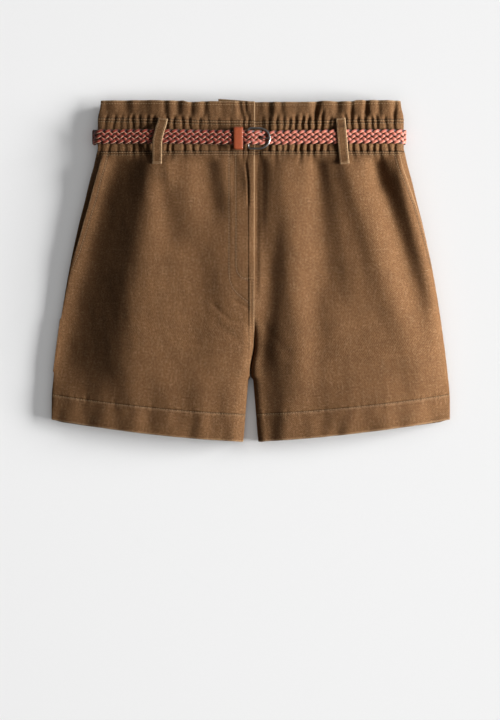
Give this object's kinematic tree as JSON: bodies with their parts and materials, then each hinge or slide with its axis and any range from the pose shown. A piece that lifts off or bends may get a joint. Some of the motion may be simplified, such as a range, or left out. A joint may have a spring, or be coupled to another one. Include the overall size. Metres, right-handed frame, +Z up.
{
  "type": "belted shorts",
  "caption": "Short trousers with a gathered, frilled elastic waist, side pockets, fly and turned-up hems, with a braided belt in loops, laid flat on their back.",
  "frame": {"origin": "middle of the bounding box's foot, on the surface that the shorts lie on", "axes": "+X to the right and +Y towards the waist as the front is looked at, +Z up from the surface"},
  "size_m": [0.4668, 0.4, 0.0317],
  "materials": {
    "twill": "matt cotton twill with a fine diagonal rib",
    "braid": "satin braided leather with pale cut edges",
    "strap_leather": "smooth satin leather",
    "metal": "polished nickel plate"
  },
  "bodies": {
    "root": {"front_right_panel": "twill", "front_left_panel": "twill", "back_right_panel": "twill", "back_left_panel": "twill", "pocket_facing_right": "twill", "pocket_facing_left": "twill", "waistband_front_right": "twill", "waistband_front_left": "twill", "waistband_back": "twill", "belt_loop_front_right": "twill", "belt_loop_front_left": "twill", "belt_loop_back_right": "twill", "belt_loop_back_centre": "twill", "belt_loop_back_left": "twill", "belt_strap": "braid", "belt_tip": "strap_leather", "buckle_tab": "strap_leather", "belt_keeper": "strap_leather", "buckle_frame": "metal", "buckle_prong": "metal"}
  },
  "joints": []
}
